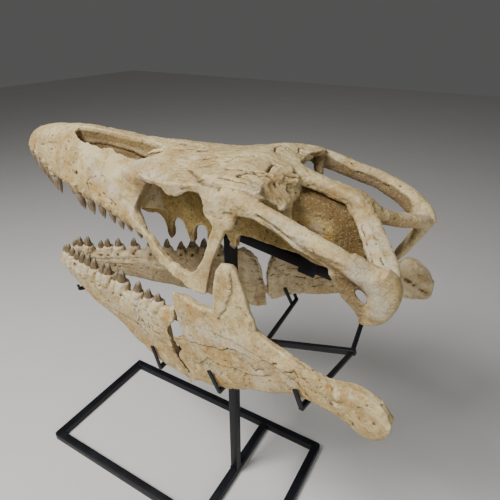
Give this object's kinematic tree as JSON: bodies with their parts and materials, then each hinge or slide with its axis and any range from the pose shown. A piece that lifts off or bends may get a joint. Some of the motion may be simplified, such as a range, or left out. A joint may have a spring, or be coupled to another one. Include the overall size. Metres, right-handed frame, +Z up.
{
  "type": "fossil mosasaur skull on a stand",
  "caption": "Fossil mosasaur skull with open toothed jaws and V-shaped cheek bones, held on a black square-tube steel museum stand.",
  "frame": {"origin": "on the floor, at the middle of the underside of the base crossbar, straight below the post", "axes": "+Z up, +X towards the back of the skull with the snout along -X, +Y towards the right side of the skull"},
  "size_m": [1.128, 0.505, 1.0764],
  "materials": {
    "bone": "cream fossil bone, matt, with grey plaster fills and ochre stains",
    "matrix": "bone under a grainy yellow-brown rock coat, matt",
    "steel": "blue-black satin paint"
  },
  "bodies": {
    "root": {"premaxilla": "bone", "maxilla_left": "bone", "maxilla_right": "bone", "prefrontal_left": "bone", "prefrontal_right": "bone", "jugal_left": "bone", "jugal_right": "bone", "frontal": "bone", "temporal_arcade_left": "bone", "temporal_arcade_right": "bone", "parietal": "bone", "quadrate_left": "bone", "quadrate_right": "bone", "braincase_and_palate": "matrix", "dentary_left": "bone", "dentary_right": "bone", "hind_jaw_left": "bone", "hind_jaw_right": "bone", "coronoid_left": "bone", "coronoid_right": "bone", "stand_base_front": "steel", "stand_base_rear": "steel", "stand_base_left": "steel", "stand_base_right": "steel", "stand_base_cross": "steel", "stand_post": "steel", "stand_skull_bar": "steel", "stand_skull_saddle": "steel", "stand_jaw_rail": "steel", "stand_chin_rod": "steel", "stand_chin_cradle_left": "steel", "stand_chin_cradle_right": "steel", "stand_front_cradle_left": "steel", "stand_front_cradle_right": "steel", "stand_middle_cradle_left": "steel", "stand_middle_cradle_right": "steel", "stand_rear_cradle_left": "steel", "stand_rear_cradle_right": "steel"}
  },
  "joints": []
}
